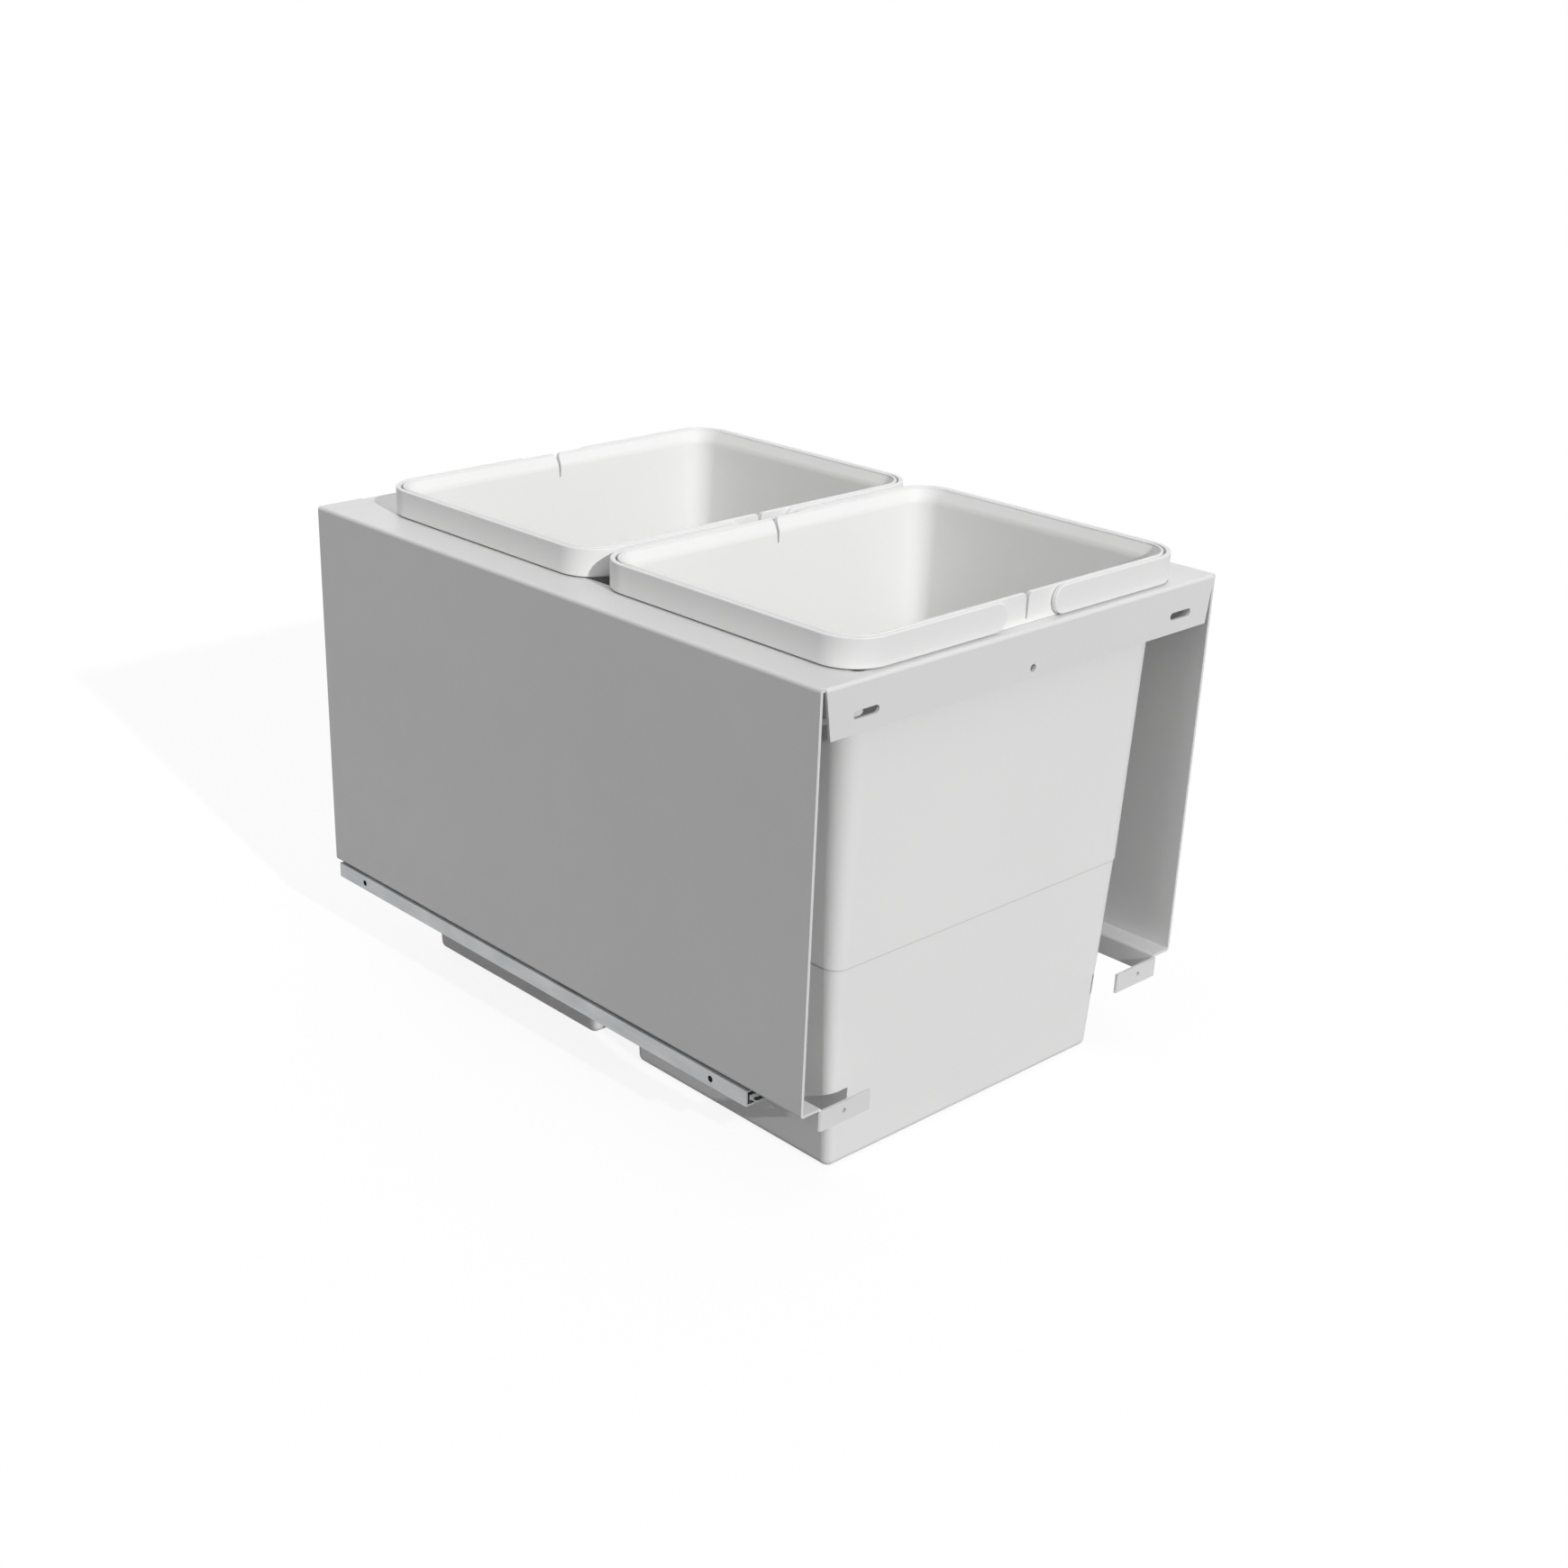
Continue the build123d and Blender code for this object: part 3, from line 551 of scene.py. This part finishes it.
def rivet_outline(width, head, shank, flat, dome):
    """Distances along the axis and radii, from the flat countersunk end to the middle of the dome."""
    points = [(0, 0), (0, head), (flat, shank), (width - dome, shank), (width - dome, head)]
    for k in range(1, DOME_STEPS + 1):
        angle = math.pi / 2 * k / DOME_STEPS
        points.append((width - dome + dome * math.sin(angle), head * math.cos(angle) ** DOME_FULLNESS))
    points[-1] = (width, 0)
    return points


# %% [markdown]
# The same idea as for the balls repeats the rivet along the rail. The row is then mirrored to the other side,
# and there the faces are flipped, because a mirror turns them inside out.

# %% The tree that repeats and mirrors a rivet
def rivet_tree():
    """The base mesh, repeated along a row, and the row once more on the other side."""
    tree = bpy.data.node_groups.new("rivet_rows", "GeometryNodeTree")
    group_input(tree, "Rivet", "NodeSocketGeometry")
    group_input(tree, "Rivets in a row", "NodeSocketInt", 3)
    group_input(tree, "Pitch", "NodeSocketVector", (0, 0.16, 0))
    group_input(tree, "Finish", "NodeSocketMaterial")
    tree.interface.new_socket("Rivets", in_out="OUTPUT", socket_type="NodeSocketGeometry")
    given, result = step(tree, "NodeGroupInput"), step(tree, "NodeGroupOutput")
    row = step(tree, "GeometryNodeMeshLine", {"mode": "OFFSET"})
    stand = step(tree, "GeometryNodeInstanceOnPoints")
    real = step(tree, "GeometryNodeRealizeInstances")
    other = step(tree, "GeometryNodeTransform", Scale=(-1, 1, 1))
    outwards = step(tree, "GeometryNodeFlipFaces")
    both = step(tree, "GeometryNodeJoinGeometry")
    paint = step(tree, "GeometryNodeSetMaterial")
    wire(tree, given.outputs["Rivets in a row"], row.inputs["Count"])
    wire(tree, given.outputs["Pitch"], row.inputs["Offset"])
    wire(tree, row.outputs[0], stand.inputs["Points"])
    wire(tree, given.outputs["Rivet"], stand.inputs["Instance"])
    wire(tree, stand.outputs[0], real.inputs[0])
    wire(tree, real.outputs[0], other.inputs["Geometry"])
    wire(tree, other.outputs[0], outwards.inputs["Mesh"])
    wire(tree, real.outputs[0], both.inputs[0])
    wire(tree, outwards.outputs[0], both.inputs[0])
    wire(tree, both.outputs[0], paint.inputs["Geometry"])
    wire(tree, given.outputs["Finish"], paint.inputs["Material"])
    wire(tree, paint.outputs[0], result.inputs[0])
    return tree


# %% [markdown]
# The CAD model's rivets give the place, the head's size and the pitch, just as its balls did. The rivets hold
# fast to the carrier, so they ride with it when it slides out.

# %% Both rows of rivets
def rail_rivets():
    """The three rivets of each side in one piece."""
    low, high = (Vector(corner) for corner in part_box("rail_rivets_left"))
    head = (high.z - low.z) / 2
    pitch = (high.y - low.y - 2 * head) / (RIVETS_ON_A_SIDE - 1)
    outline = rivet_outline(high.x - low.x, head * JUST_WITHIN, SHANK_RADIUS, SUNK_DEPTH, DOME_HEIGHT)
    centre = Vector((low.x, low.y + head, (low.z + high.z) / 2))
    mesh = spun_rivet("rivet", outline, centre)
    piece = grown("rail_rivets", mesh, rivet_tree(), Rivets_in_a_row=RIVETS_ON_A_SIDE, Pitch=(0, pitch, 0),
                  Finish=FINISHES["rivets"])
    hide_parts("rail_rivets_left", "rail_rivets_right")
    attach(piece, "carrier")
    return piece


rail_rivets()
